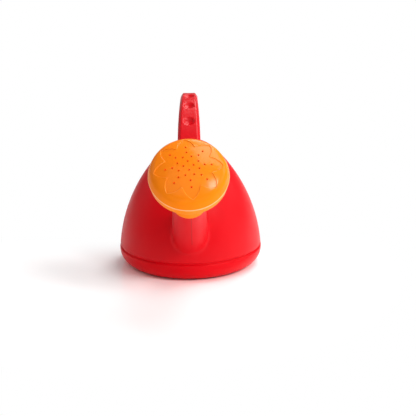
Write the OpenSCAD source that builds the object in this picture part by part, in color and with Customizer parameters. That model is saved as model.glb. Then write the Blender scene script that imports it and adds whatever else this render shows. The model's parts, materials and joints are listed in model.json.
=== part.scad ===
// Toy watering can: a bell-shaped body with a slanting spout, a floor pan, a hollow arched handle
// and a push-on rose whose domed face carries a sunk flower and sprinkling holes.
// Millimetres. The origin is the centre of the foot on the ground, +Z is up and the spout points to -Y.

/* [Body] */
// Largest radius of the bell
body_r = 70.3; // [67:0.1:74]
// Radius of the curved flank of the bell, seen from the side
flank_r = 150.5; // [144:0.5:157]
// Height of the centre of the flank's curve
flank_z = 6.6; // [4:0.1:10]
// Radius of the rounded top of the bell
crown_r = 37; // [33:0.5:41]
// Thickness of the moulded red walls
wall = 2.2; // [1.8:0.1:2.6]

/* [Base] */
// Height of the joint between the body and the floor pan
joint_z = 18.5; // [17:0.5:22]
// How far the floor pan stands out past the bell at the joint
base_lip = 0.3; // [0.1:0.1:1.2]
// Rounding of the pan's lower edge
base_round = 15.5; // [12:0.5:16.5]
// Height of each half of the groove at the joint
groove_h = 1.8; // [1.2:0.1:2.4]
// Depth of the groove
groove_d = 1.2; // [0.6:0.1:1.4]
// Height of the pan's inner upstand above the joint
upstand_h = 7; // [4:0.5:10]
// Gap between the upstand and the inside of the body
upstand_gap = 0.15; // [0.1:0.05:0.4]
// Width of the ring that the can stands on
foot_w = 12; // [8:1:20]
// Height of the hollow inside the foot ring
foot_hollow = 1.2; // [0.5:0.1:2]

/* [Spout] */
// Slope of the spout above the level
spout_tilt = 46.6; // [42:0.1:50]
// Height at which the spout's axis leaves the body
spout_exit_z = 49.6; // [46:0.1:54]
// Length of the spout from the body to the rose's seat
spout_len = 52.7; // [48:0.1:58]
// Radius of the spout at the body
spout_root_r = 17.1; // [16.5:0.1:18.5]
// Radius of the spout at the rose's seat
spout_end_r = 15.2; // [14.8:0.1:16]
// Radius of the straight end that the rose is pushed onto
spigot_r = 13; // [12.4:0.1:13.4]
// Length of that straight end
spigot_len = 22; // [16:0.5:25]
// Gap between the straight end and the rose's neck
spigot_gap = 0.08; // [0.02:0.01:0.1]

/* [Fill mouth] */
// Place of the fill mouth on the rear flank, as the slope of its axis
fill_tilt = 36; // [34:0.5:40]
// Radius of the fill mouth
fill_r = 17.5; // [15:0.5:18.5]
// Height of the collar above the flank
fill_rise = 4; // [3:0.5:6]
// Radius of the rolled lip on the collar
lip_r = 1.6; // [1.2:0.1:2]

/* [Handle] */
// Radius of the arch, at the middle of the handle's thickness
arch_r = 95; // [90:1:100]
// How far the centre of the arch lies behind the can's axis
arch_back = 40; // [36:1:44]
// Height of the arch's underside above the top of the body
grip_clear = 22.6; // [18:0.1:28]
// Thickness of the handle
handle_t = 13; // [12:0.5:15]
// Width of the handle at its front root
handle_front_w = 22.2; // [20:0.1:25]
// Width of the handle at the top and down its rear leg
handle_rear_w = 17.2; // [15:0.1:20]
// Width of the slanted band along each long edge of the handle
band_w = 2.7; // [2:0.1:3.5]
// Height of that band
band_h = 4.2; // [3.4:0.1:5]
// Polar angle at which the arch turns down at the front
arch_front_angle = 136; // [132:1:140]
// Polar angle at which the arch turns down at the rear
arch_rear_angle = 72; // [68:1:76]
// Radius of the bend at the front
front_bend_r = 28; // [25:1:32]
// Radius of the bend at the rear
rear_bend_r = 36; // [32:1:40]
// Polar angle at the end of the rear bend, where the straight leg starts
leg_angle = -28; // [-34:1:-22]
// Wall of the handle's dimpled face
grip_wall = 4.2; // [3.6:0.1:4.6]
// Least distance from the handle's joint faces to the body
root_clear = 3.5; // [2:0.5:6]
// Length of the tongues that locate the handle on its roots
tongue_len = 8; // [6:0.5:10]
// Thickness of those tongues
tongue_t = 4; // [3:0.5:4.5]
// Gap on either side of a tongue
tongue_gap = 0.4; // [0.2:0.1:0.8]
// Number of grip dimples
dimples = 4; // [2:1:4]
// Polar angle of the first grip dimple
dimple_angle = 121; // [119:0.5:123]
// Distance between grip dimples along the arch
dimple_pitch = 25.5; // [24:0.1:27]
// Width of a grip dimple
dimple_w = 11.2; // [9:0.1:12]
// Depth of a grip dimple
dimple_depth = 2.6; // [1.6:0.1:2.8]

/* [Rose] */
// Distance from the rose's seat to its rim
funnel_len = 49; // [46:0.5:54]
// Outer radius of the neck
neck_r = 16; // [15.6:0.1:17]
// Length of the straight neck
neck_len = 20; // [16:0.5:22]
// Rounding of the neck's lower edge
neck_round = 1.6; // [0.8:0.1:2]
// Radius of the funnel's flare, seen from the side
flare_r = 19; // [16:0.5:21]
// Turn of the flare, from along the neck to the funnel's cone
flare_turn = 62; // [56:1:68]
// Radius of the lip round the face
rim_r = 36.1; // [35:0.1:38]
// Thickness of the lip
rim_t = 1.8; // [1.4:0.1:2.2]
// Step from the lip in to the funnel
rim_step = 1.4; // [0.8:0.1:1.8]
// Step from the lip in to the skirt
skirt_step = 0.4; // [0.2:0.1:0.7]
// Thickness of the orange walls
rose_wall = 2; // [1.6:0.1:2.4]
// Height of the face from its rim to the top of its dome
face_h = 18.7; // [17.5:0.1:20]
// Radius of the dome
dome_r = 70; // [64:1:78]
// Rounding between the dome and the skirt
shoulder_r = 10; // [8:0.5:12]
// Slope of the skirt
skirt_slope = 74; // [71:0.5:78]
// Depth of the ring that plugs the face into the funnel
plug_depth = 4; // [3:0.5:6]
// Gap between that ring and the funnel
plug_gap = 0.06; // [0.02:0.01:0.1]

/* [Flower] */
// Number of petals
petals = 8; // [6:1:8]
// Distance from the middle of the flower to a petal's tip
petal_tip = 31; // [29:0.1:31.5]
// Distance from the middle to the valley between two petals
petal_valley = 21; // [19:0.1:22.5]
// Radius of a petal's curved sides
petal_side_r = 16; // [13:0.5:24]
// Depth of the flower below the dome
petal_depth = 0.8; // [0.4:0.1:1.1]
// Turn of the flower about the rose's axis
petal_turn = 7; // [-22:1:22]
// Radius of a sprinkling hole
hole_r = 0.7; // [0.5:0.05:0.9]
// Radius of the inner ring of holes, which has half as many holes as there are petals
hole_ring_1 = 4.45; // [3.5:0.05:5]
// Radius of the second ring, whose holes lie between the petals
hole_ring_2 = 9.85; // [8.5:0.05:11]
// Radius of the third ring, whose holes lie on the petals
hole_ring_3 = 14.2; // [13:0.1:15.5]
// Radius of the outer ring, whose holes lie on the petals
hole_ring_4 = 20.4; // [19:0.1:22]

/* [Hidden] */
$fn = 96;
red = [0.87, 0.09, 0.11];
orange = [0.98, 0.52, 0.08];

// Overshoot of a cutting solid past the face that it opens
cut = 1;
// Steps along the flank, along a large curve, round a small edge and round a blunt corner
flank_steps = 16;
curve_steps = 8;
edge_steps = 5;
corner_steps = 2;

// Points on an arc about c, from angle a0 to a1
function arc(c, r, a0, a1, steps) =
    [for (i = [0 : steps]) let (a = a0 + (a1 - a0) * i / steps) c + r * [cos(a), sin(a)]];
// A list without its first entry, and a list back to front
function skip_first(list) = [for (i = [1 : len(list) - 1]) list[i]];
function backwards(list) = [for (i = [len(list) - 1 : -1 : 0]) list[i]];

// The bell: a flank arc that meets a crown arc without a kink. Its side view is (radius, height).
flank_c = [body_r - flank_r, flank_z];
crown_c = [0, flank_z + sqrt(pow(flank_r - crown_r, 2) - pow(flank_c.x, 2))];
crown_angle = atan2(crown_c.y - flank_c.y, crown_c.x - flank_c.x);
body_top = crown_c.y + crown_r;

// Radius of the bell at height z, with its wall taken in by inset
function bell_r(z, inset = 0) = flank_c.x + sqrt(pow(flank_r - inset, 2) - pow(z - flank_z, 2));
// Angle on the flank arc at height z
function flank_angle(z, inset = 0) = asin((z - flank_z) / (flank_r - inset));
// The bell's curve from height z to its top
function bell_curve(z, inset) = concat(
    arc(flank_c, flank_r - inset, flank_angle(z, inset), crown_angle, flank_steps),
    skip_first(arc(crown_c, crown_r - inset, crown_angle, 90, curve_steps))
);

// Largest radius of the floor pan
base_r = bell_r(joint_z) + base_lip;
// The groove's sides are soft steps: share of its depth at a way t from its bottom to its edge
function groove_share(t) = (1 + cos(180 * t)) / 2;
groove_ways = [for (i = [0 : edge_steps]) i / edge_steps];

// The spout's axis starts where it leaves the body
spout_exit = [0, -bell_r(spout_exit_z), spout_exit_z];
// Slope of the spout's sides, as radius lost per millimetre of length
spout_taper = (spout_root_r - spout_end_r) / spout_len;
function spout_r(s) = spout_root_r - spout_taper * s;
// Length of spout inside the body, past the lower side of its root, where the body's inner face cuts it off
spout_sunk = spout_root_r * tan(spout_tilt - flank_angle(spout_exit_z)) + 3 * wall;

// The fill mouth's axis is square to the flank
fill_p = flank_c + flank_r * [cos(fill_tilt), sin(fill_tilt)];
fill_outer_r = fill_r + wall;
// Depth of the collar below the flank, where the body's round falls away from it
fill_sunk = pow(fill_outer_r, 2) / body_r + wall;

// The handle's middle line: front bend, arch, rear bend and straight leg, in (Y, Z)
handle_h = handle_t / 2;
arch_c = [arch_back, body_top + grip_clear + handle_h - arch_r];
front_c = arch_c + (arch_r - front_bend_r) * [cos(arch_front_angle), sin(arch_front_angle)];
rear_c = arch_c + (arch_r - rear_bend_r) * [cos(arch_rear_angle), sin(arch_rear_angle)];
leg_dir = [sin(leg_angle), -cos(leg_angle)];
leg_out = [cos(leg_angle), sin(leg_angle)];
leg_start = rear_c + rear_bend_r * leg_out;

// Where the handle's inner face meets the flank, on the leg and on the front bend
function along_line(p, d, c, r) = let (q = p - c, b = q * d) -b - sqrt(b * b - q * q + r * r);
leg_hit = along_line(leg_start - handle_h * leg_out, leg_dir, flank_c, flank_r);
leg_joint = leg_hit - root_clear;
front_flank_c = [-flank_c.x, flank_c.y];
front_in_r = front_bend_r - handle_h;
front_gap = front_flank_c - front_c;
front_far = norm(front_gap);
front_hit = atan2(front_gap.y, front_gap.x) + 360
    - acos((pow(front_in_r, 2) + pow(front_far, 2) - pow(flank_r, 2)) / (2 * front_in_r * front_far));
front_joint = front_hit - root_clear / front_in_r * 180 / PI;
// The roots run on into the body, where its inner face cuts them off
root_sink_turn = 50;
root_sink_len = 2 * handle_t;
front_root_sweep = front_hit - front_joint + root_sink_turn;
leg_root_len = root_clear + root_sink_len;

// Width of the handle at depth y: a taper with soft ends, from the front root to behind the top
taper_start = front_c.x - front_bend_r;
taper_past_top = 10;
taper_len = arch_back + taper_past_top - taper_start;
function handle_w(y) =
    let (t = min(1, max(0, (y - taper_start) / taper_len)))
    handle_front_w + (handle_rear_w - handle_front_w) * t * t * (3 - 2 * t);

// Stations along the handle: [y, z, polar angle of the outward normal]
function stations(c, r, a0, a1, steps) =
    [for (i = [0 : steps]) let (a = a0 + (a1 - a0) * i / steps) [c.x + r * cos(a), c.y + r * sin(a), a]];
leg_end = leg_start + leg_joint * leg_dir;
handle_path = concat(
    stations(front_c, front_bend_r, front_joint, arch_front_angle, edge_steps),
    skip_first(stations(arch_c, arch_r, arch_front_angle, arch_rear_angle, flank_steps)),
    skip_first(stations(rear_c, rear_bend_r, arch_rear_angle, leg_angle, curve_steps + edge_steps)),
    [[leg_end.x, leg_end.y, leg_angle]]
);

// A corner at b between a and c, rounded by a curve of second degree that starts and ends at distance d from b
function soft_corner(a, b, c, d) =
    let (p = b + d * (a - b) / norm(a - b), q = b + d * (c - b) / norm(c - b))
    [for (i = [0 : corner_steps])
        let (t = i / corner_steps)
            pow(1 - t, 2) * p + 2 * t * (1 - t) * b + t * t * q];
// Half of a bar's outline, from one side to the other: [across, outwards]
// Above height z its long edges are slanted bands, and the bands' corners are rounded
function half_bar(w, h, z) =
    let (foot = [w / 2, 0])
    let (low = [w / 2, z])
    let (high = [w / 2 - (h - z) * band_slant, h])
    let (d = band_soft * min(z, h - z))
    let (side = concat([foot], soft_corner(foot, low, high, d), soft_corner(low, high, [0, h], d)))
    concat(side, [for (p = backwards(side)) [-p.x, p.y]]);
// Lean of the bands, and the share of the shorter side's height over which their corners are rounded
band_slant = band_w / band_h;
band_soft = 0.45;
// Largest share of the hollow's height that is left below its bands
band_in_share = 0.75;
// Height at which the bands start, outside and on the hollow's side
band_z = handle_h - band_h;
band_in_z = band_z - wall * (norm([band_w, band_h]) - band_h) / band_w;
// The whole outline, for the roots
function full_bar(w) = concat(half_bar(w, handle_h, band_z), [for (p = half_bar(w, handle_h, band_z)) -p]);
// Height of the middle of the handle's hollow above its middle line
hollow_mid = (wall - grip_wall) / 2;

// The rose's side view is (radius, distance along the axis)
// The funnel is measured from the seat and the face from the rim
funnel_r = rim_r - rim_step;
plug_r = funnel_r - rose_wall;
neck_bore_r = spigot_r + spigot_gap;
spigot_end_gap = 0.5;
dome_c = [0, face_h - dome_r];
shoulder_angle = 90 - skirt_slope;
// The lip is a half round, and the skirt rises out of it
lip_c = [rim_r - rim_t / 2, rim_t / 2];
lip_turn = acos(1 - 2 * skirt_step / rim_t);
skirt_foot = lip_c + rim_t / 2 * [cos(lip_turn), sin(lip_turn)];
skirt_in = [cos(shoulder_angle), sin(shoulder_angle)];
// The shoulder's centre lies on a circle about the dome's, and one shoulder radius inside the skirt
shoulder_line = skirt_foot - shoulder_r * skirt_in;
shoulder_up = [-skirt_in.y, skirt_in.x];
shoulder_q = shoulder_line - dome_c;
shoulder_b = shoulder_q * shoulder_up;
shoulder_reach = pow(dome_r - shoulder_r, 2) - shoulder_q * shoulder_q;
shoulder_rise = sqrt(shoulder_b * shoulder_b + shoulder_reach) - shoulder_b;
shoulder_c = shoulder_line + shoulder_rise * shoulder_up;
dome_angle = atan2(shoulder_c.y - dome_c.y, shoulder_c.x - dome_c.x);
// The face's curve from its skirt to the top of its dome, taken in by inset
function face_curve(inset) = concat(
    arc(shoulder_c, shoulder_r - inset, shoulder_angle, dome_angle, edge_steps),
    skip_first(arc(dome_c, dome_r - inset, dome_angle, 90, curve_steps))
);

// A petal is where two large circles overlap; both pass through its tip and the valleys beside it
valley_p = petal_valley * [cos(180 / petals), sin(180 / petals)];
petal_chord = [petal_tip, 0] - valley_p;
petal_mid = ([petal_tip, 0] + valley_p) / 2;
petal_back = sqrt(pow(petal_side_r, 2) - pow(norm(petal_chord) / 2, 2));
petal_side_c = petal_mid + petal_back * [petal_chord.y, -petal_chord.x] / norm(petal_chord);

// Lays a (Y, Z) side view upright, with its extrusion along X
module side_view() {
    rotate([90, 0, 90]) children();
}

// Turns a solid made along +Z onto the spout's axis, at distance s from the body
module on_spout(s) {
    translate(spout_exit) rotate([90 - spout_tilt, 0, 0]) translate([0, 0, s]) children();
}

// Turns a solid made along +Z onto the fill mouth's axis
module on_fill_mouth() {
    translate([0, fill_p.x, fill_p.y]) rotate([fill_tilt - 90, 0, 0]) children();
}

// The solid bell, drawn in at its lower edge to form the upper half of the groove
module bell() {
    rotate_extrude() polygon(concat(
        [[0, joint_z]],
        [for (t = groove_ways) let (z = joint_z + groove_h * t) [bell_r(z) - groove_d * groove_share(t), z]],
        skip_first(bell_curve(joint_z + groove_h, 0))
    ));
}

// The space inside the bell
module bell_inside() {
    rotate_extrude() polygon(concat(
        [[0, joint_z - cut], [bell_r(joint_z, wall), joint_z - cut]],
        bell_curve(joint_z, wall)
    ));
}

// The spout with its seat and straight end
module spout() {
    on_spout(0) rotate_extrude() polygon([
        [0, -spout_sunk],
        [spout_r(-spout_sunk), -spout_sunk],
        [spout_end_r, spout_len],
        [spigot_r, spout_len],
        [spigot_r, spout_len + spigot_len],
        [0, spout_len + spigot_len]
    ]);
}

// The water way through the spout
module spout_bore() {
    on_spout(0) rotate_extrude() polygon([
        [0, -spout_sunk - cut],
        [spout_r(-spout_sunk) - wall, -spout_sunk - cut],
        [spout_r(spout_len - wall) - wall, spout_len - 2 * wall],
        [spigot_r - wall, spout_len + wall],
        [spigot_r - wall, spout_len + spigot_len + cut],
        [0, spout_len + spigot_len + cut]
    ]);
}

// The collar of the fill mouth, with its rolled lip
module fill_collar() {
    on_fill_mouth() {
        translate([0, 0, -fill_sunk]) cylinder(r = fill_outer_r, h = fill_sunk + fill_rise - lip_r);
        rotate_extrude() polygon(concat(
            [[0, fill_rise - 2 * lip_r]],
            arc([fill_outer_r - lip_r + wall / 2, fill_rise - lip_r], lip_r, -90, 90, 2 * edge_steps),
            [[0, fill_rise]]
        ));
    }
}

// The fill mouth's hole
module fill_bore() {
    on_fill_mouth() translate([0, 0, -fill_sunk - cut])
        cylinder(r = fill_r, h = fill_sunk + fill_rise + 2 * cut);
}

// A tongue on a handle root: a flat bar along the path from a joint face, set to the middle of the hollow
module tongue(p, out_angle, toward, w, lean) {
    side_in = wall + (lean + tongue_t / 2 - hollow_mid - band_in_z) * band_slant + tongue_gap;
    tongue_w = w - 2 * side_in;
    back = toward > 0 ? -wall : -tongue_len;
    translate([0, p.x, p.y]) rotate([out_angle - 90, 0, 0])
        translate([-tongue_w / 2, back, hollow_mid - lean - tongue_t / 2])
            cube([tongue_w, wall + tongue_len, tongue_t]);
}

// The front root rises out of the dome along the front bend
module front_root() {
    w = handle_w(front_c.x + front_bend_r * cos(front_joint));
    p = front_c + front_bend_r * [cos(front_joint), sin(front_joint)];
    side_view() translate(front_c) rotate(front_joint) rotate_extrude(angle = front_root_sweep)
        polygon([for (q = full_bar(w)) [front_bend_r + q.y, q.x]]);
    tongue(p, front_joint, 1, w, tongue_len * tongue_len / front_bend_r / 4);
}

// The rear root carries the straight leg
module rear_root() {
    w = handle_w(leg_end.x);
    far = leg_end + leg_root_len * leg_dir;
    translate([0, far.x, far.y]) rotate([leg_angle, 0, 0]) linear_extrude(leg_root_len) polygon(full_bar(w));
    tongue(leg_end, leg_angle, -1, w, 0);
}

module body_shell() {
    color(red) difference() {
        union() {
            bell();
            spout();
            fill_collar();
            front_root();
            rear_root();
        }
        bell_inside();
        spout_bore();
        fill_bore();
    }
}

// The floor pan: a rounded band, a raised floor inside a foot ring and an upstand that fits inside the body
module base_pan() {
    edge_c = [base_r - base_round, base_round];
    foot_in = edge_c.x - foot_w;
    lip_d = groove_d + base_lip;
    upstand_in = wall + upstand_gap;
    upstand_z = [for (i = [0 : edge_steps]) joint_z + upstand_h * i / edge_steps];
    shelf_turn = 9;
    color(red) rotate_extrude() polygon(concat(
        [[0, foot_hollow], [foot_in - foot_hollow, foot_hollow], [foot_in, 0]],
        arc(edge_c, base_round, -90, 0, curve_steps),
        [for (t = backwards(groove_ways)) [base_r - lip_d * groove_share(t), joint_z - groove_h * t]],
        [for (z = upstand_z) [bell_r(z, upstand_in), z]],
        [for (z = backwards(upstand_z)) [bell_r(z, upstand_in + wall), z]],
        [[bell_r(joint_z, upstand_in + wall), joint_z - wall]],
        arc(edge_c, base_round - wall, -shelf_turn, -90, curve_steps),
        [[foot_in, wall], [foot_in - foot_hollow, foot_hollow + wall], [0, foot_hollow + wall]]
    ));
}

// One half of the hollow handle: a channel swept along the path, outwards (side 1) or inwards (side -1)
module handle_channel(side, face_wall) {
    hollow_h = handle_h - face_wall;
    hollow_z = min(band_in_z, band_in_share * hollow_h);
    chains = [for (s = handle_path) let (w = handle_w(s.x)) [
        half_bar(w, handle_h, band_z),
        half_bar(w - 2 * wall, hollow_h, hollow_z)
    ]];
    n = len(chains[0][0]);
    m = len(handle_path);
    ring = 2 * n;
    points = [
        for (i = [0 : m - 1])
            let (s = handle_path[i])
                for (k = [0 : 1])
                    for (q = chains[i][k])
                        [side * q.x, s.x + side * q.y * cos(s.z), s.y + side * q.y * sin(s.z)]
    ];
    // Corners of the quads: along both skins, along the two split edges, and across the two ends
    skins = [
        for (i = [0 : m - 2])
            for (j = [0 : n - 2])
                for (k = [0 : 1])
                    let (a = i * ring + k * n + j, b = a + ring)
                        k == 0 ? [a, b, b + 1, a + 1] : [a, a + 1, b + 1, b]
    ];
    edges = [
        for (i = [0 : m - 2])
            for (j = [0, n - 1])
                let (a = i * ring + j, b = a + ring)
                    j == 0 ? [a, a + n, b + n, b] : [a, b, b + n, a + n]
    ];
    ends = [
        for (i = [0, m - 1])
            for (j = [0 : n - 2])
                let (a = i * ring + j, b = a + n)
                    i == 0 ? [a, a + 1, b + 1, b] : [a, b, b + 1, a + 1]
    ];
    triangles = [for (f = concat(skins, edges, ends)) each [[f[0], f[1], f[2]], [f[0], f[2], f[3]]]];
    polyhedron(points, triangles);
}

module handle_outer_shell() {
    face_r = arch_r + handle_h;
    ball_r = (pow(dimple_w / 2, 2) + pow(dimple_depth, 2)) / (2 * dimple_depth);
    color(red) difference() {
        handle_channel(1, grip_wall);
        for (i = [0 : dimples - 1]) {
            a = dimple_angle - i * dimple_pitch / face_r * 180 / PI;
            p = arch_c + (face_r + ball_r - dimple_depth) * [cos(a), sin(a)];
            translate([0, p.x, p.y]) sphere(r = ball_r);
        }
    }
}

module handle_inner_shell() {
    color(red) handle_channel(-1, wall);
}

// The rose's neck and funnel: the neck slides onto the spout and stops on its seat, the rim takes the face
module rose_funnel() {
    flare_c = [neck_r + flare_r, neck_len];
    cone_dir = [sin(flare_turn), cos(flare_turn)];
    cone_start = flare_c + flare_r * [-cos(flare_turn), sin(flare_turn)];
    cone_in = cone_start + rose_wall * [-cos(flare_turn), sin(flare_turn)];
    stop_z = spigot_len + spigot_end_gap;
    stop_turn = asin((stop_z - neck_len) / (flare_r + rose_wall));
    color(orange) on_spout(spout_len) rotate_extrude() polygon(concat(
        [[neck_bore_r, 0]],
        arc([neck_r - neck_round, neck_round], neck_round, -90, 0, edge_steps),
        arc(flare_c, flare_r, 180, 180 - flare_turn, curve_steps),
        [cone_start + cone_dir * (funnel_r - cone_start.x) / cone_dir.x],
        [[funnel_r, funnel_len], [plug_r, funnel_len]],
        [cone_in + cone_dir * (plug_r - cone_in.x) / cone_dir.x],
        arc(flare_c, flare_r + rose_wall, 180 - flare_turn, 180 - stop_turn, curve_steps),
        [[neck_bore_r, stop_z]]
    ));
}

// The flower's outline: petals round the middle
module flower() {
    for (i = [0 : petals - 1])
        rotate(petal_turn - 90 + 360 * i / petals) intersection_for(side = [-1, 1])
            translate([petal_side_c.x, side * petal_side_c.y]) circle(r = petal_side_r);
}

// A ring of sprinkling holes
module holes(ring_r, count, turn) {
    for (i = [0 : count - 1])
        rotate(petal_turn - 90 + turn + 360 * i / count) translate([ring_r, 0, 0])
            cylinder(r = hole_r, h = face_h + cut);
}

module rose_face() {
    plug_out = plug_r - plug_gap;
    plug_in = plug_out - rose_wall;
    color(orange) on_spout(spout_len + funnel_len) difference() {
        rotate_extrude() polygon(concat(
            [[plug_out, -plug_depth], [plug_out, 0]],
            arc(lip_c, rim_t / 2, -90, lip_turn, edge_steps),
            face_curve(0),
            backwards(face_curve(rose_wall)),
            [[plug_in, rim_t], [plug_in, -plug_depth]]
        ));
        difference() {
            linear_extrude(face_h + cut) flower();
            rotate_extrude() polygon(concat([[0, -cut], [rim_r, -cut], [rim_r, 0]], face_curve(petal_depth)));
        }
        holes(hole_ring_1, petals / 2, 0);
        holes(hole_ring_2, petals, 180 / petals);
        holes(hole_ring_3, petals, 0);
        holes(hole_ring_4, petals, 0);
    }
}

body_shell();
base_pan();
handle_outer_shell();
handle_inner_shell();
rose_funnel();
rose_face();
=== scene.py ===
"""Toy watering can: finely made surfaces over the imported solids, their finishes, studio light and the camera.

Sizes are millimetres until a surface becomes a mesh, which is in metres.
The origin is the centre of the foot on the ground, +Z is up and the spout points to -Y.
"""
import json

import bmesh
import bpy
import numpy as np
from mathutils import Matrix

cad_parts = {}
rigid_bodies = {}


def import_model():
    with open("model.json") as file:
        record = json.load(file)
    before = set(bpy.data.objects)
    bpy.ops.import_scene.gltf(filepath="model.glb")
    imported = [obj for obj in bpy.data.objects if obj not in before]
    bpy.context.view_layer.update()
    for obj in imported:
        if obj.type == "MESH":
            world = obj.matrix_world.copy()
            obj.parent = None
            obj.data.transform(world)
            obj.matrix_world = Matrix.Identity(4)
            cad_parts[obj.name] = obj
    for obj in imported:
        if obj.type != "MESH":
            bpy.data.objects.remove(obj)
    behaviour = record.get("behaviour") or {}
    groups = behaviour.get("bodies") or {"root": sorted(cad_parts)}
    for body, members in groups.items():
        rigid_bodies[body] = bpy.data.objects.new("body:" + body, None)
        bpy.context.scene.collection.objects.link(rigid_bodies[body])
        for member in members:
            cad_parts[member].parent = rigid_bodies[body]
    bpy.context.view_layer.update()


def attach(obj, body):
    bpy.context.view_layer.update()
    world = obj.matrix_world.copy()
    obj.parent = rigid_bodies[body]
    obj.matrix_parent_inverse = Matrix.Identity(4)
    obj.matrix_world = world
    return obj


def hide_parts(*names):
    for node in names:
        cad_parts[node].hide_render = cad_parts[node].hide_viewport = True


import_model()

# Body
BODY_R, FLANK_R, FLANK_Z, CROWN_R, WALL = 70.3, 150.5, 6.6, 37.0, 2.2
JOINT_Z, BASE_LIP, BASE_ROUND, GROOVE_H, GROOVE_D = 18.5, 0.3, 15.5, 1.8, 1.2
UPSTAND_H, UPSTAND_GAP, FOOT_W, FOOT_HOLLOW = 7.0, 0.15, 12.0, 1.2
# Spout
SPOUT_TILT, SPOUT_EXIT_Z, SPOUT_LEN = np.radians(46.6), 49.6, 52.7
SPOUT_ROOT_R, SPOUT_END_R, SPIGOT_R, SPIGOT_LEN, SPIGOT_GAP = 17.1, 15.2, 13.0, 22.0, 0.08
# Fill mouth
FILL_TILT, FILL_R, FILL_RISE, LIP_R = np.radians(36.0), 17.5, 4.0, 1.6
# Handle
ARCH_R, ARCH_BACK, GRIP_CLEAR, HANDLE_T = 95.0, 40.0, 22.6, 13.0
FRONT_W, REAR_W, TAPER_PAST_TOP, BAND_W, BAND_H, BAND_SOFT = 22.2, 17.2, 10.0, 2.7, 4.2, 0.45
ARCH_FRONT, ARCH_REAR, LEG_ANGLE = np.radians([136.0, 72.0, -28.0])
FRONT_BEND_R, REAR_BEND_R, GRIP_WALL, ROOT_CLEAR = 28.0, 36.0, 4.2, 3.5
DIMPLES, DIMPLE_ANGLE, DIMPLE_PITCH, DIMPLE_W, DIMPLE_DEPTH = 4, np.radians(121.0), 25.5, 11.2, 2.6
# Rose
FUNNEL_LEN, NECK_R, NECK_LEN, NECK_ROUND = 49.0, 16.0, 20.0, 1.6
FLARE_R, FLARE_TURN, RIM_R, RIM_T, RIM_STEP, SKIRT_STEP = 19.0, np.radians(62.0), 36.1, 1.8, 1.4, 0.4
ROSE_WALL, FACE_H, DOME_R, SHOULDER_R, SKIRT_SLOPE = 2.0, 18.7, 70.0, 10.0, np.radians(74.0)
PLUG_DEPTH, PLUG_GAP = 4.0, 0.06
PETALS, PETAL_TIP, PETAL_VALLEY, PETAL_SIDE_R = 8, 31.0, 21.0, 16.0
PETAL_DEPTH, PETAL_TURN, HOLE_R = 0.8, np.radians(7.0), 0.7
HOLE_RINGS = ((4.45, 4, 0.0), (9.85, 8, 0.5), (14.2, 8, 0.0), (20.4, 8, 0.0))
# Soft forms that only this file has: blends on the bell, the spout's parting line, rims of the dimples
SPOUT_BLEND, COLLAR_BLEND, ROOT_BLEND = 3.2, 1.2, 2.4
SEAM_HALF_W, SEAM_H, SEAM_SUNK, SEAM_ASIDE = 0.45, 0.26, 0.3, 1.7
DIMPLE_EASE, DIMPLE_FADE_R, DIMPLE_FADE_W = 0.2, 5.5, 2.2
# Relief of the rose: flower's wall, dished petals, soft holes, end of the dome's grid, height of the lip's coat
# and painted highlight
PETAL_WALL_OUT, PETAL_WALL_W, DISH_FROM, DISH_W, DISH_SHARE = 0.1, 0.7, 0.8, 3.6, 0.06
HOLE_WINDOW, HOLE_LEAD, DOME_TO, LIP_SHARE = 1.35, 0.18, 0.8, 0.85
HOLE_OUT, HOLE_DOWN = np.array([0.09, 0.02, 0.0, 0.0]), np.array([0.03, 0.1, 0.25])
# Rounding of the spout's seat and of the split edges of the handle
SEAT_EDGE, SPLIT_EDGE = 0.5, 0.25
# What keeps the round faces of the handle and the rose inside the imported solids' flat facets
FACE_TRIM, ROSE_TRIM = 0.07, 0.025
# Fineness of the grids
BELL_COLUMNS, BELL_ROWS, LEAD_ROWS, BLEND_ROWS, GROOVE_ROWS = 288, 92, 5, 10, 10
PATH_STEP, FACE_COLUMNS, FUNNEL_COLUMNS, PETAL_COLUMNS, FLOWER_ROWS = 0.8, 41, 224, 40, 44
# Turn of the surface, in radians a metre, at which an outer edge starts to count and counts fully
EDGE_FROM, EDGE_FULL = 150.0, 650.0
SHARP_ANGLE, MM = np.radians(50), 0.001

X_AXIS, Y_AXIS, Z_AXIS = np.eye(3)


def polar(angle):
    """Unit vectors (cos, sin) of an array of angles."""
    return np.stack([np.cos(angle), np.sin(angle)], -1)


def ring(psi, up):
    """Directions at angles psi about an axis: X at 0 and up at a quarter turn."""
    return np.cos(psi)[..., None] * X_AXIS + np.sin(psi)[..., None] * up


def mix(a, b, w):
    """a at w 0, b at w 1, and the straight way between them."""
    return a + (b - a) * w


def smooth(w):
    """A soft step from 0 to 1: 3 w squared less 2 w cubed."""
    w = np.clip(w, 0.0, 1.0)
    return w * w * (3 - 2 * w)


def shares(steps):
    """Even steps from 0 to 1."""
    return np.linspace(0, 1, steps + 1)


def arc(centre, radius, start, end, steps):
    """Points on a circle's arc from angle start to end, as (steps + 1, 2)."""
    return np.asarray(centre) + radius * polar(np.linspace(start, end, steps + 1))


def straight(start, end, steps):
    """Points on a straight line, as (steps + 1, 2)."""
    return mix(np.asarray(start), np.asarray(end), shares(steps)[:, None])


def spun(profile, psi, origin, up, axis):
    """A side view (radius, height) carried about an axis to angles psi."""
    return origin + ring(psi, up)[None] * profile[:, :1, None] + profile[:, 1:, None] * axis


def block_border(r0, r1, c0, c1):
    """Row and column numbers once round the border of a block of cells."""
    wide, tall = c1 - c0, r1 - r0
    rows = [np.full(wide, r0), np.arange(r0, r1), np.full(wide, r1), np.arange(r1, r0, -1)]
    cols = [np.arange(c0, c1), np.full(tall, c1), np.arange(c1, c0, -1), np.full(tall, c0)]
    return np.concatenate(rows), np.concatenate(cols)


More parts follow.
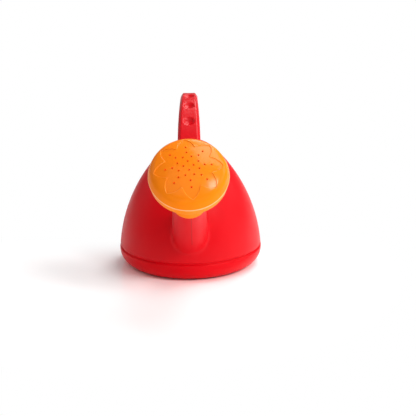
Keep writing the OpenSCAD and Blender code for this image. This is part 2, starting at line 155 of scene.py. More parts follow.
class Skin:
    """The points and four-sided faces of one closed piece, gathered as grids that share border points.

    Marks are shares from 0 to 1 at chosen points, which the materials read: a coat, a painted highlight, and
    painted shade and glow in the holes.
    """

    def __init__(self):
        self.points = np.zeros((0, 3))
        self.quads = np.zeros((0, 4), int)
        self.marks = {"bore": [], "lip": [], "polish": []}

    def add(self, points):
        """Takes in an array of points (..., 3) and returns their numbers in the same layout."""
        start = len(self.points)
        self.points = np.vstack([self.points, points.reshape(-1, 3)])
        return start + np.arange(points[..., 0].size).reshape(points.shape[:-1])

    def weave(self, ids, keep=None):
        """Quads between neighbouring rows and columns of point numbers; keep picks the cells."""
        cells = np.stack([ids[:-1, :-1], ids[:-1, 1:], ids[1:, 1:], ids[1:, :-1]], -1)
        cells = cells.reshape(-1, 4) if keep is None else cells[keep]
        self.quads = np.vstack([self.quads, cells])

    def tube(self, ids, keep=None):
        """The same with the last column joined to the first."""
        self.weave(np.hstack([ids, ids[:, :1]]), keep)

    def channel(self, ids, n):
        """A tube whose sections go out over n points and come back beside them, shut at both ends."""
        self.tube(ids)
        for end in ids[[0, -1]]:
            self.weave(np.stack([end[:n], end[: n - 1 : -1]]))

    def pole(self, point, border):
        """Closes a ring of point numbers with a fan about one point."""
        centre = self.add(np.asarray(point, float).reshape(1, 3))
        self.tube(np.vstack([border, np.full(len(border), centre[0])]))


def mark_edges(mesh):
    """Stores how sharply the surface turns outwards at each point, from 0 on flat parts to 1 on small rounds.

    Along each edge of the mesh it is the turn of the normal over the edge's length; a point takes the mean.
    """
    count = len(mesh.vertices)
    place, normal = np.zeros(count * 3), np.zeros(count * 3)
    mesh.vertices.foreach_get("co", place)
    mesh.vertex_normals.foreach_get("vector", normal)
    place, normal = place.reshape(-1, 3), normal.reshape(-1, 3)
    ends = np.zeros(len(mesh.edges) * 2, np.int32)
    mesh.edges.foreach_get("vertices", ends)
    a, b = ends.reshape(-1, 2).T
    way = place[b] - place[a]
    turn = ((normal[b] - normal[a]) * way).sum(1) / np.maximum((way**2).sum(1), 1e-12)
    total = np.bincount(ends, np.repeat(turn, 2), count)
    mean = total / np.maximum(np.bincount(ends, minlength=count), 1)
    edge = mesh.attributes.new("edge", "FLOAT", "POINT")
    edge.data.foreach_set("value", smooth((mean - EDGE_FROM) / (EDGE_FULL - EDGE_FROM)))


def new_object(name, data):
    """An object at the origin, in the scene."""
    obj = bpy.data.objects.new(name, data)
    bpy.context.scene.collection.objects.link(obj)
    return obj


def piece(name, skin, body, node, finish):
    """Makes the mesh in metres with its faces outwards, and ties it to its body, slot and replaced node."""
    flat = skin.quads[:, 2] == skin.quads[:, 3]
    faces = skin.quads[~flat].tolist() + skin.quads[flat][:, :3].tolist()
    mesh = bpy.data.meshes.new(name)
    mesh.from_pydata((skin.points * MM).tolist(), [], faces)
    shell = bmesh.new()
    shell.from_mesh(mesh)
    bmesh.ops.recalc_face_normals(shell, faces=shell.faces[:])
    shell.to_mesh(mesh)
    shell.free()
    mesh.polygons.foreach_set("use_smooth", np.ones(len(mesh.polygons), bool))
    mesh.set_sharp_from_angle(angle=SHARP_ANGLE)
    mark_edges(mesh)
    for mark, chosen in skin.marks.items():
        share = np.zeros(len(skin.points))
        for ids, value in chosen:
            share[ids] = value
        mesh.attributes.new(mark, "FLOAT", "POINT").data.foreach_set("value", share)
    mesh.materials.append(finish)
    obj = new_object(name, mesh)
    if node:
        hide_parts(node)
    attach(obj, body)


# The bell: a flank arc and a crown arc. A place on it is (angle about Z, arc length up from the lower edge).
FLANK_C = np.array([BODY_R - FLANK_R, FLANK_Z])
CROWN_C = np.array([0.0, FLANK_Z + np.sqrt((FLANK_R - CROWN_R) ** 2 - FLANK_C[0] ** 2)])
CROWN_ANGLE = np.arctan2(CROWN_C[1] - FLANK_C[1], -FLANK_C[0])
BODY_TOP = CROWN_C[1] + CROWN_R
EDGE_Z = JOINT_Z + GROOVE_H
FLANK_FROM = np.arcsin((EDGE_Z - FLANK_Z) / FLANK_R)
FLANK_LEN = (CROWN_ANGLE - FLANK_FROM) * FLANK_R
BELL_LEN = FLANK_LEN + (np.pi / 2 - CROWN_ANGLE) * CROWN_R


def bell_r(z, inset=0.0):
    """Radius of the flank at height z, taken in by inset."""
    return FLANK_C[0] + np.sqrt((FLANK_R - inset) ** 2 - (z - FLANK_Z) ** 2)


def groove_share(way):
    """Share of the groove's depth on the way from its bottom (0) to its edge (1): half a cosine wave."""
    return (1 + np.cos(np.pi * way)) / 2


BASE_R = bell_r(JOINT_Z) + BASE_LIP


def bell_point(theta, up, inset=0.0):
    """A point of the bell: a circle of the flank's or the crown's radius, turned about Z."""
    flank = FLANK_C + (FLANK_R - inset) * polar(FLANK_FROM + up / FLANK_R)
    crown = CROWN_C + (CROWN_R - inset) * polar(CROWN_ANGLE + (up - FLANK_LEN) / CROWN_R)
    side = np.where((up > FLANK_LEN)[..., None], crown, flank)
    return np.concatenate([side[..., :1] * polar(theta), side[..., 1:]], -1)


def bell_arcs(point):
    """Points as seen from the centres of the flank's and the crown's arc, and whether the flank's counts."""
    side = np.stack([np.hypot(point[..., 0], point[..., 1]), point[..., 2]], -1)
    flank, crown = side - FLANK_C, side - CROWN_C
    return flank, crown, np.arctan2(flank[..., 1], flank[..., 0]) < CROWN_ANGLE


def bell_place(point):
    """The reverse of bell_point: angle about Z and arc length of points on the bell."""
    flank, crown, on_flank = bell_arcs(point)
    low = (np.arctan2(flank[..., 1], flank[..., 0]) - FLANK_FROM) * FLANK_R
    high = FLANK_LEN + (np.arctan2(crown[..., 1], crown[..., 0]) - CROWN_ANGLE) * CROWN_R
    return np.stack([np.arctan2(point[..., 1], point[..., 0]), np.where(on_flank, low, high)], -1)


def bell_gap(point, inset):
    """Signed distance of points from the bell, positive outside."""
    flank, crown, on_flank = bell_arcs(point)
    low, high = np.linalg.norm(flank, axis=-1) - FLANK_R, np.linalg.norm(crown, axis=-1) - CROWN_R
    return np.where(on_flank, low, high) + inset


# Limbs that rise out of the bell. Each gives the line of its side at angle psi, and psi of any point.
# Span is where along that line its foot on the bell is looked for.
SPOUT_EXIT = np.array([0.0, -bell_r(SPOUT_EXIT_Z), SPOUT_EXIT_Z])
SPOUT_AXIS = np.array([0.0, -np.cos(SPOUT_TILT), np.sin(SPOUT_TILT)])
SPOUT_UP = np.array([0.0, np.sin(SPOUT_TILT), np.cos(SPOUT_TILT)])
SPOUT_TAPER = (SPOUT_ROOT_R - SPOUT_END_R) / SPOUT_LEN
FILL_AXIS = np.array([0.0, np.cos(FILL_TILT), np.sin(FILL_TILT)])
FILL_UP = np.array([0.0, np.sin(FILL_TILT), -np.cos(FILL_TILT)])
FILL_P = np.append(0.0, FLANK_C + FLANK_R * polar(FILL_TILT))
FILL_OUTER_R = FILL_R + WALL

HALF_T = HANDLE_T / 2
ARCH_C = np.array([ARCH_BACK, BODY_TOP + GRIP_CLEAR + HALF_T - ARCH_R])
FRONT_C = ARCH_C + (ARCH_R - FRONT_BEND_R) * polar(ARCH_FRONT)
REAR_C = ARCH_C + (ARCH_R - REAR_BEND_R) * polar(ARCH_REAR)
LEG_DIR = np.array([np.sin(LEG_ANGLE), -np.cos(LEG_ANGLE)])
LEG_OUT = polar(LEG_ANGLE)
LEG_START = REAR_C + REAR_BEND_R * LEG_OUT


def leg_joint():
    """Length of the straight leg to its joint: to where its inner face meets the flank, less the root."""
    q = LEG_START - HALF_T * LEG_OUT - FLANK_C
    b = q @ LEG_DIR
    return -b - np.sqrt(b * b - q @ q + FLANK_R**2) - ROOT_CLEAR


def front_joint():
    """Polar angle of the front joint: where the bend's inner face meets the flank, less the root's turn."""
    inner = FRONT_BEND_R - HALF_T
    gap = np.array([-FLANK_C[0], FLANK_C[1]]) - FRONT_C
    far = np.linalg.norm(gap)
    turn = np.arccos((inner**2 + far**2 - FLANK_R**2) / (2 * inner * far))
    return np.arctan2(gap[1], gap[0]) + 2 * np.pi - turn - ROOT_CLEAR / inner


LEG_LEN = leg_joint()
LEG_END = LEG_START + LEG_LEN * LEG_DIR
FRONT_JOINT = front_joint()


def handle_w(y):
    """Width of the handle at depth y: a soft step from the front root to just behind the top."""
    start = FRONT_C[0] - FRONT_BEND_R
    return mix(FRONT_W, REAR_W, smooth((y - start) / (ARCH_BACK + TAPER_PAST_TOP - start)))


BAND_LEN = np.hypot(BAND_W, BAND_H)
BAND_Z = HALF_T - BAND_H
BAND_IN_Z = BAND_Z - WALL * (BAND_LEN - BAND_H) / BAND_W


def bar(psi, width, grow):
    """Distance from the middle of the handle's section to its outline, in direction psi.

    The outline is a side, a slanted band and a face, all pushed out by grow. The nearest of the three counts,
    and a sum of high powers rounds the corners between them.
    """
    power = 40
    across, out = np.abs(np.cos(psi)), np.abs(np.sin(psi))
    band = (BAND_H * width / 2 + BAND_W * BAND_Z) / BAND_LEN + grow
    slant = (BAND_H * across + BAND_W * out) / BAND_LEN / band
    planes = (across / (width / 2 + grow), slant, out / (HALF_T + grow))
    return sum(plane**power for plane in planes) ** (-1 / power)


class RoundLimb:
    """A cone, or a cylinder, about an axis."""

    def __init__(self, span, origin, up, axis, radius, taper):
        self.span, self.origin, self.up, self.axis = span, origin, up, axis
        self.radius, self.taper = radius, taper

    def line(self, psi, grow, s):
        """Points at distance s along the axis, on the radius there and grow more."""
        radius = self.radius - self.taper * s + grow
        return self.origin + radius[..., None] * ring(psi, self.up) + s[..., None] * self.axis

    def psi(self, point):
        """Angle of points about the axis."""
        q = point - self.origin
        return np.arctan2(q @ self.up, q @ X_AXIS)


class BarLimb:
    """The handle's rounded bar near a joint, about its middle line."""

    def line(self, psi, grow, s):
        """Points on the bar, grown by grow; s runs along the middle line and is 0 at the joint."""
        reach = bar(psi, self.width, grow)
        x = np.broadcast_to(reach * np.cos(psi), s.shape)
        return np.concatenate([x[..., None], self.side(reach * np.sin(psi), s)], -1)

    def psi(self, point):
        """Angle of points about the middle line."""
        return np.arctan2(self.out(point[..., 1:]), point[..., 0])


class FrontRoot(BarLimb):
    """The bar round the front bend."""

    span = (-24.0, 0.0)
    width = handle_w(FRONT_C[0] + FRONT_BEND_R * np.cos(FRONT_JOINT))

    def side(self, out, s):
        return FRONT_C + (FRONT_BEND_R + out)[..., None] * polar(FRONT_JOINT - s / FRONT_BEND_R)

    def out(self, side):
        return np.linalg.norm(side - FRONT_C, axis=-1) - FRONT_BEND_R


class RearRoot(BarLimb):
    """The bar along the straight leg."""

    span = (-26.0, 0.0)
    width = handle_w(LEG_END[0])

    def side(self, out, s):
        return LEG_END + out[..., None] * LEG_OUT - s[..., None] * LEG_DIR

    def out(self, side):
        return (side - LEG_END) @ LEG_OUT


SPOUT = RoundLimb((-60.0, 60.0), SPOUT_EXIT, SPOUT_UP, SPOUT_AXIS, SPOUT_ROOT_R, SPOUT_TAPER)
COLLAR = RoundLimb((-25.0, 15.0), FILL_P, FILL_UP, FILL_AXIS, FILL_OUTER_R, 0.0)


def seat(limb, psi, grow, inset=0.0):
    """Where each side line of a limb pierces the bell: halving steps on the signed distance."""
    low, high = (np.full(psi.shape, end) for end in limb.span)
    for _ in range(48):
        middle = (low + high) / 2
        outside = bell_gap(limb.line(psi, grow, middle), inset) > 0
        high = np.where(outside, middle, high)
        low = np.where(outside, low, middle)
    return (low + high) / 2


class BellGrid:
    """A grid of points over the bell, with windows where the limbs rise."""

    def __init__(self, skin, inset):
        self.skin, self.inset = skin, inset
        self.theta = np.linspace(-np.pi, np.pi, BELL_COLUMNS + 1)[:-1]
        self.up = np.linspace(0.0, BELL_LEN, BELL_ROWS + 1)[:-1]
        self.place = np.stack(np.meshgrid(self.theta, self.up), -1)
        self.ids = skin.add(bell_point(self.place[..., 0], self.place[..., 1], inset))
        self.keep = np.ones((len(self.up) - 1, len(self.theta)), bool)

    def window(self, limb, grow, pad=2):
        """The block of cells round a limb's foot: first and last row, first and last column."""
        psi = np.linspace(-np.pi, np.pi, 181)
        foot = bell_place(limb.line(psi, grow, seat(limb, psi, grow)))
        step = np.array([self.theta[1] - self.theta[0], self.up[1]])
        cells = (foot - [self.theta[0], 0.0]) / step
        low = np.floor(cells.min(0)).astype(int) - pad
        high = np.ceil(cells.max(0)).astype(int) + pad
        return max(low[1], 0), min(high[1], len(self.up) - 1), low[0], high[0]

    def cut(self, block):
        """Opens a block of cells and returns its border."""
        r0, r1, c0, c1 = block
        self.keep[r0:r1, c0:c1] = False
        return block_border(*block)

    def close(self):
        """Weaves what the windows leave, and shuts the top."""
        self.skin.tube(self.ids, self.keep)
        self.skin.pole([0.0, 0.0, BODY_TOP - self.inset], self.ids[-1])


def lead_in(grid, border, limb, psi, blend):
    """Rings from a window's border over the bell to the blend's edge, and round the blend onto the limb.

    On the bell the rings lie between the two outlines, in angle and arc length. The blend is a curve of
    second degree from the bell to the limb's side, drawn towards the corner that the two would make.
    Returns the rings and the distance along the limb at which they end.
    """
    corner_s = seat(limb, psi, 0.0, grid.inset)
    corner = limb.line(psi, 0.0, corner_s)
    edge = limb.line(psi, blend, seat(limb, psi, blend, grid.inset))
    places = mix(grid.place[border], bell_place(edge), shares(LEAD_ROWS)[1:, None, None])
    on_bell = bell_point(places[..., 0], places[..., 1], grid.inset)
    end_s = corner_s + blend
    end = limb.line(psi, 0.0, end_s)
    w = shares(BLEND_ROWS)[1:, None, None]
    round_corner = (1 - w) ** 2 * edge + 2 * w * (1 - w) * corner + w**2 * end
    return np.vstack([on_bell, round_corner]), end_s


def mouth(outer, inner, limb, blend, side, profile, bore_from, bore_rows, patch_rows):
    """A limb that opens into the bell: lead in, side, end, bore, and the inner wall round the bore's foot.

    Side is where the side ends and its rows. The profile of the end is (radius, distance) about the axis.
    """
    skin = outer.skin
    block = outer.window(limb, blend)
    border, inner_border = outer.cut(block), inner.cut(block)
    psi = limb.psi(skin.points[outer.ids[border]])
    rings, s = lead_in(outer, border, limb, psi, blend)
    flank = limb.line(psi, 0.0, mix(s, side[0], shares(side[1])[1:, None]))
    turn = spun(profile, psi, limb.origin, limb.up, limb.axis)
    foot_s = seat(limb, psi, -WALL, WALL)
    bore = limb.line(psi, -WALL, mix(bore_from, foot_s, shares(bore_rows)[:, None]))
    inner_edge = mix(bell_place(bore[-1]), inner.place[inner_border], shares(patch_rows)[1:-1, None, None])
    patch = bell_point(inner_edge[..., 0], inner_edge[..., 1], WALL)
    ids = skin.add(np.vstack([rings, flank, turn, bore, patch]))
    skin.tube(np.vstack([outer.ids[border], ids, inner.ids[inner_border]]))


def spout_end():
    """Side view of the spout's end: the rounded seat, the straight end and the start of the water way."""
    rim, bore_rim, seat_from, spigot_soft, bore_soft = 0.6, 0.4, 0.3, 0.4, 2.0
    bore_r = SPIGOT_R - WALL
    end = SPOUT_LEN + SPIGOT_LEN
    return np.vstack([
        arc([SPOUT_END_R - SEAT_EDGE, SPOUT_LEN - SEAT_EDGE], SEAT_EDGE, seat_from, np.pi / 2, 4),
        [[SPIGOT_R, SPOUT_LEN], [SPIGOT_R, SPOUT_LEN + spigot_soft]],
        arc([SPIGOT_R - rim, end - rim], rim, 0.0, np.pi / 2, 4),
        arc([bore_r + bore_rim, end - bore_rim], bore_rim, np.pi / 2, np.pi, 3),
        [[bore_r, SPOUT_LEN + WALL + bore_soft], [bore_r, SPOUT_LEN + WALL]],
        [[SPOUT_END_R - WALL, SPOUT_LEN - 2 * WALL]],
    ])


def body_skin():
    """The blow-moulded body with its inner wall: bell, spout, fill collar and handle roots in one skin."""
    skin = Skin()
    outer, inner = BellGrid(skin, 0.0), BellGrid(skin, WALL)
    spout_bore_in, fill_bore_in, inner_round, face_in = 1.0, 1.2, 0.7, 3.0
    side, bore_from = (SPOUT_LEN - SEAT_EDGE, 40), SPOUT_LEN - 2 * WALL - spout_bore_in
    mouth(outer, inner, SPOUT, SPOUT_BLEND, side, spout_end(), bore_from, bore_rows=15, patch_rows=5)

    # Fill mouth with a rolled lip
    lip_c = np.array([FILL_OUTER_R - LIP_R + WALL / 2, FILL_RISE - LIP_R])
    lip_from = -np.arccos((FILL_OUTER_R - lip_c[0]) / LIP_R)
    rolled_lip = np.vstack([
        arc(lip_c, LIP_R, lip_from, np.pi / 2, 14)[1:],
        arc([FILL_R + inner_round, FILL_RISE - inner_round], inner_round, np.pi / 2, np.pi, 6),
    ])
    side, bore_from = (lip_c[1] + LIP_R * np.sin(lip_from), 4), FILL_RISE - fill_bore_in
    mouth(outer, inner, COLLAR, COLLAR_BLEND, side, rolled_lip, bore_from, bore_rows=7, patch_rows=4)

    # Handle roots: lead in, short side, joint face with a softened edge
    for root in (FrontRoot(), RearRoot()):
        border = outer.cut(outer.window(root, ROOT_BLEND))
        psi = root.psi(skin.points[outer.ids[border]])
        rings, s = lead_in(outer, border, root, psi, ROOT_BLEND)
        side = root.line(psi, 0.0, mix(s, -SPLIT_EDGE, shares(4)[1:, None]))
        flat = np.zeros_like(psi)
        face = np.stack([root.line(psi, -SPLIT_EDGE, flat), root.line(psi, -face_in, flat)])
        ids = skin.add(np.vstack([rings, side, face]))
        skin.tube(np.vstack([outer.ids[border], ids]))
        skin.pole(face[-1].mean(0), ids[-1])

    outer.close()
    inner.close()
    # Upper half of the groove and the ring under it
    way = np.linspace(1, 0, GROOVE_ROWS + 1)[1:]
    z = JOINT_Z + GROOVE_H * way
    edge = np.stack([bell_r(z) - GROOVE_D * groove_share(way), z], -1)
    edge = np.vstack([edge, [[bell_r(JOINT_Z, WALL), JOINT_Z]]])
    rim = edge[:, None, :1] * polar(outer.theta)
    rim = np.concatenate([rim, np.broadcast_to(edge[:, None, 1:], rim[..., :1].shape)], -1)
    skin.tube(np.vstack([outer.ids[0], skin.add(rim), inner.ids[0]]))
    return skin


def parting_line_skin():
    """The mould's parting line down the front of the spout: a low ridge, sunk a little into the side.

    Its height over the side is a fourth-degree bell across and fades out at both ends; its foot lies inside
    the wall.
    """
    skin = Skin()
    start, short, below, fade_low, fade_top = 3.0, 0.8, 0.03, 8.0, 1.0
    across = np.linspace(-1, 1, 13)
    s = np.linspace(start, SPOUT_LEN - short, 90)
    ends = smooth((s - s[0]) / fade_low) * smooth((s[-1] - s) / fade_top)
    front = -np.pi / 2 + (SEAM_ASIDE + across * SEAM_HALF_W) / SPOUT_END_R
    psi = np.broadcast_to(front, (len(s), len(across)))
    rise = SEAM_H * (1 - across**2) ** 2 * ends[:, None] - below
    far = np.broadcast_to(s[:, None], psi.shape)
    ridge, foot = SPOUT.line(psi, rise, far), SPOUT.line(psi, np.full(psi.shape, -SEAM_SUNK), far)
    skin.channel(np.hstack([skin.add(ridge), skin.add(foot)[:, ::-1]]), len(across))
    return skin


def turned(profile, columns, origin=0 * X_AXIS, up=Y_AXIS, axis=Z_AXIS):
    """A side view carried once round an axis, closed on itself or, where it starts there, on the axis."""
    skin = Skin()
    psi = np.linspace(0, 2 * np.pi, columns + 1)[:-1]
    on_axis = profile[:, 0] < 1e-6
    ids = skin.add(spun(profile[~on_axis], psi, origin, up, axis))
    if on_axis.any():
        skin.tube(ids)
        skin.pole(origin + profile[0, 1] * axis, ids[0])
        skin.pole(origin + profile[-1, 1] * axis, ids[-1])
    else:
        skin.tube(np.vstack([ids, ids[:1]]))
    return skin


def base_skin():
    """The floor pan: foot ring, rounded band, groove edge, upstand and inner floor, turned about Z."""
    centre_r, foot_soft, inner_turn = 4.0, 0.5, np.radians(9)
    edge_c = np.array([BASE_R - BASE_ROUND, BASE_ROUND])
    foot_in = edge_c[0] - FOOT_W
    floor_r, floor_z = foot_in - FOOT_HOLLOW, FOOT_HOLLOW + WALL
    inset = WALL + UPSTAND_GAP
    z = np.linspace(JOINT_Z, JOINT_Z + UPSTAND_H, 12)
    way = np.linspace(1, 0, GROOVE_ROWS + 1)
    profile = np.vstack([
        [[0.0, FOOT_HOLLOW]],
        straight([centre_r, FOOT_HOLLOW], [floor_r, FOOT_HOLLOW], 5),
        [[foot_in, 0.0]],
        straight([foot_in + foot_soft, 0.0], [edge_c[0], 0.0], 3)[:-1],
        arc(edge_c, BASE_ROUND, -np.pi / 2, 0.0, 40),
        np.stack([BASE_R - (GROOVE_D + BASE_LIP) * groove_share(way), JOINT_Z - GROOVE_H * way], -1),
        np.stack([bell_r(z, inset), z], -1),
        np.stack([bell_r(z[::-1], inset + WALL), z[::-1]], -1),
        [[bell_r(JOINT_Z, inset + WALL), JOINT_Z - WALL]],
        arc(edge_c, BASE_ROUND - WALL, -inner_turn, -np.pi / 2, 20),
        [[foot_in, WALL], [floor_r, floor_z], [centre_r, floor_z], [0.0, floor_z]],
    ])
    return turned(profile, BELL_COLUMNS)


def handle_path():
    """Stations along the handle's middle line, as (Y, Z) and the polar angle of the outward normal."""

    def bend(centre, radius, start, end):
        angle = np.linspace(start, end, int(abs(end - start) * radius / PATH_STEP) + 2)
        return np.column_stack([centre + radius * polar(angle), angle])

    front = bend(FRONT_C, FRONT_BEND_R, FRONT_JOINT, ARCH_FRONT)
    soft_end = bend(FRONT_C, FRONT_BEND_R, FRONT_JOINT, FRONT_JOINT - SPLIT_EDGE / FRONT_BEND_R)
    arch = bend(ARCH_C, ARCH_R, ARCH_FRONT, ARCH_REAR)
    rear = bend(REAR_C, REAR_BEND_R, ARCH_REAR, LEG_ANGLE)
    far = np.append(np.linspace(0, LEG_LEN - SPLIT_EDGE, 40), LEG_LEN)[:, None]
    leg = np.column_stack([LEG_START + far * LEG_DIR, np.full(len(far), LEG_ANGLE)])
    return np.vstack([soft_end[:1], soft_end[-1:], front[1:], arch[1:], rear[1:], leg[1:]])


def soft_corner(a, b, c, reach, steps):
    """Corners at b between a and c, rounded by curves of second degree that end at a reach from b."""
    p = b + reach * (a - b) / np.linalg.norm(a - b, axis=-1, keepdims=True)
    q = b + reach * (c - b) / np.linalg.norm(c - b, axis=-1, keepdims=True)
    t = shares(steps)[:, None]
    return (1 - t) ** 2 * p[..., None, :] + 2 * t * (1 - t) * b[..., None, :] + t**2 * q[..., None, :]


def channel_side(half_w, height, band_z, split):
    """The handle's section (across, outwards) from one split edge over bands and face to the other."""
    wide = half_w[:, None]
    angle = np.linspace(-np.pi / 2, 0, 4)[None]
    foot = np.stack([wide - split + split * np.cos(angle), split + split * np.sin(angle) + 0 * wide], -1)
    side = np.column_stack([half_w, 0 * half_w])
    low = np.column_stack([half_w, 0 * half_w + band_z])
    high = np.column_stack([half_w - (height - band_z) * BAND_W / BAND_H, height])
    middle = np.column_stack([0 * half_w, height])
    soft = BAND_SOFT * np.minimum(band_z, height - band_z)[:, None]
    corners = soft_corner(side, low, high, soft, 6), soft_corner(low, high, middle, soft, 6)
    right = np.concatenate([foot, *corners], 1)
    left = right[:, ::-1] * [-1.0, 1.0]
    flat = mix(right[:, -1:], left[:, :1], shares(FACE_COLUMNS + 1)[None, 1:-1, None])
    return np.concatenate([right, flat, left], 1)


def handle_skin(side, face_wall, dimpled):
    """Half of the hollow handle: a channel's section carried along the path, outwards (1) or inwards (-1).

    The grip dimples are sunk along the normal: a ball's cap whose rim is eased into the face.
    """
    skin = Skin()
    path = handle_path()
    inset = np.zeros(len(path))
    inset[[0, -1]] = SPLIT_EDGE
    half_w = handle_w(path[:, 0]) / 2 - inset
    outer = channel_side(half_w, HALF_T - FACE_TRIM - inset, BAND_Z, SPLIT_EDGE)
    if dimpled:
        face_r = ARCH_R + HALF_T
        ball_r = ((DIMPLE_W / 2) ** 2 + DIMPLE_DEPTH**2) / (2 * DIMPLE_DEPTH)
        below, fade = 1.0, 0.6
        for i in range(DIMPLES):
            along = (path[:, 2] - DIMPLE_ANGLE) * face_r + i * DIMPLE_PITCH
            reach = np.hypot(along[:, None], outer[..., 0])
            cap = np.sqrt(np.maximum(ball_r**2 - reach**2, 0.0)) - (ball_r - DIMPLE_DEPTH)
            eased = (cap + np.sqrt(cap**2 + DIMPLE_EASE**2)) / 2
            eased = eased * (1 - smooth((reach - DIMPLE_FADE_R) / DIMPLE_FADE_W))
            on_face = smooth((outer[..., 1] - HALF_T + below) / fade)
            outer[..., 1] -= eased * on_face
    hollow_h, hollow_share, hollow_split = HALF_T - face_wall, 0.75, 0.05
    hollow_z = min(BAND_IN_Z, hollow_share * hollow_h)
    hollow = channel_side(half_w - WALL + inset, np.full(len(path), hollow_h), hollow_z, hollow_split)
    out = np.column_stack([np.zeros(len(path)), polar(path[:, 2])])
    centre = np.column_stack([np.zeros(len(path)), path[:, :2]])

    def placed(section):
        return centre[:, None] + side * (section[..., :1] * X_AXIS + section[..., 1:] * out[:, None])

    ids = np.concatenate([skin.add(placed(outer)), skin.add(placed(hollow))[:, ::-1]], 1)
    skin.channel(ids, outer.shape[1])
    return skin


# The rose. Side views are (radius, distance along the axis) from the funnel's seat or the face's rim.
FUNNEL_R = RIM_R - RIM_STEP
PLUG_R = FUNNEL_R - ROSE_WALL
SEAT_P = SPOUT_EXIT + SPOUT_LEN * SPOUT_AXIS
RIM_P = SEAT_P + (FUNNEL_LEN - ROSE_TRIM) * SPOUT_AXIS


def funnel_skin():
    """The neck, its flare and the cone up to the rim, turned about the spout's axis."""
    lead_w, lead_h, soft, eased, rim_edge, stop_gap = 0.3, 1.0, 0.5, 0.06, 0.3, 0.5
    flare_c = np.array([NECK_R + FLARE_R, NECK_LEN])
    cone_dir = np.array([np.sin(FLARE_TURN), np.cos(FLARE_TURN)])
    cone_in = np.array([-np.cos(FLARE_TURN), np.sin(FLARE_TURN)])
    start = flare_c + FLARE_R * cone_in
    start_in = start + ROSE_WALL * cone_in
    bore = SPIGOT_R + SPIGOT_GAP
    stop = SPIGOT_LEN + stop_gap
    stop_turn = np.arcsin((stop - NECK_LEN) / (FLARE_R + ROSE_WALL))
    shoulder = start + cone_dir * (FUNNEL_R - start[0]) / cone_dir[0]
    profile = np.vstack([
        [[bore, lead_h], [bore + lead_w, 0.0]],
        arc([NECK_R - NECK_ROUND, NECK_ROUND], NECK_ROUND, -np.pi / 2, 0.0, 10),
        straight([NECK_R, NECK_ROUND], [NECK_R, NECK_LEN], 7)[1:-1],
        arc(flare_c, FLARE_R, np.pi, np.pi - FLARE_TURN, 24),
        straight(start, shoulder, 7)[1:-1],
        [shoulder - soft * cone_dir, shoulder + [-eased, eased], shoulder + [0.0, soft]],
        arc([FUNNEL_R - rim_edge, FUNNEL_LEN - rim_edge], rim_edge, 0.0, np.pi / 2, 4),
        [[PLUG_R, FUNNEL_LEN]],
        [start_in + cone_dir * (PLUG_R - start_in[0]) / cone_dir[0]],
        arc(flare_c, FLARE_R + ROSE_WALL, np.pi - FLARE_TURN, np.pi - stop_turn, 16),
        [[bore, stop]],
    ])
    return turned(profile, FUNNEL_COLUMNS, SEAT_P, SPOUT_UP, SPOUT_AXIS)


# The face's curve: a dome that rolls over a shoulder into the skirt.
DOME_C = np.array([0.0, FACE_H - DOME_R])
SHOULDER_END = np.pi / 2 - SKIRT_SLOPE
SKIRT_IN = polar(SHOULDER_END)
LIP_C = np.array([RIM_R - RIM_T / 2, RIM_T / 2])
LIP_TURN = np.arccos(1 - 2 * SKIRT_STEP / RIM_T)
SKIRT_FOOT = LIP_C + RIM_T / 2 * polar(LIP_TURN)


def shoulder_centre():
    """Centre of the shoulder's arc: one shoulder radius inside the skirt, and inside the dome by as much."""
    line = SKIRT_FOOT - SHOULDER_R * SKIRT_IN
    along = np.array([-SKIRT_IN[1], SKIRT_IN[0]])
    q = line - DOME_C
    b = q @ along
    return line + (np.sqrt(b * b + (DOME_R - SHOULDER_R) ** 2 - q @ q) - b) * along


SHOULDER_C = shoulder_centre()
DOME_END = np.arctan2(*(SHOULDER_C - DOME_C)[::-1])


def face_point(r, depth=0.0):
    """Height of the face at radius r, taken in by depth along its normal: a dome's arc, then a shoulder's."""
    dome = DOME_C[1] + np.sqrt(np.maximum((DOME_R - depth) ** 2 - r**2, 0.0))
    over = np.clip((r - SHOULDER_C[0]) / (SHOULDER_R - depth), -1.0, 1.0)
    shoulder = SHOULDER_C[1] + (SHOULDER_R - depth) * np.sqrt(1 - over**2)
    return np.where(r > (DOME_R - depth) * np.cos(DOME_END), shoulder, dome)


def petal_edge(beta):
    """Radius of the flower's outline at angle beta from the first petal: circles through tips and valleys."""
    sector = 2 * np.pi / PETALS
    beta = np.abs((beta + sector / 2) % sector - sector / 2)
    tip = np.array([PETAL_TIP, 0.0])
    valley = PETAL_VALLEY * polar(np.array(sector / 2))
    chord = tip - valley
    back = np.sqrt(PETAL_SIDE_R**2 - (chord @ chord) / 4)
    c = (tip + valley) / 2 + back * np.array([chord[1], -chord[0]]) / np.linalg.norm(chord)
    b = polar(beta) @ c
    return b + np.sqrt(b * b - c @ c + PETAL_SIDE_R**2)


def on_rose(plane, height):
    """Points at places (..., 2) across the rose's axis and at a height over its rim."""
    return RIM_P + plane[..., :1] * X_AXIS + plane[..., 1:] * SPOUT_UP + height[..., None] * SPOUT_AXIS


def flower_depth(inside):
    """Depth of the sunk flower at a distance inside its outline: a soft wall, then a dish that levels off."""
    wall = smooth((inside + PETAL_WALL_OUT) / PETAL_WALL_W)
    dish = 1 - np.clip((DISH_W - inside) / (DISH_W - DISH_FROM), 0.0, 1.0) ** 2
    return PETAL_DEPTH * mix(wall, dish, DISH_SHARE)


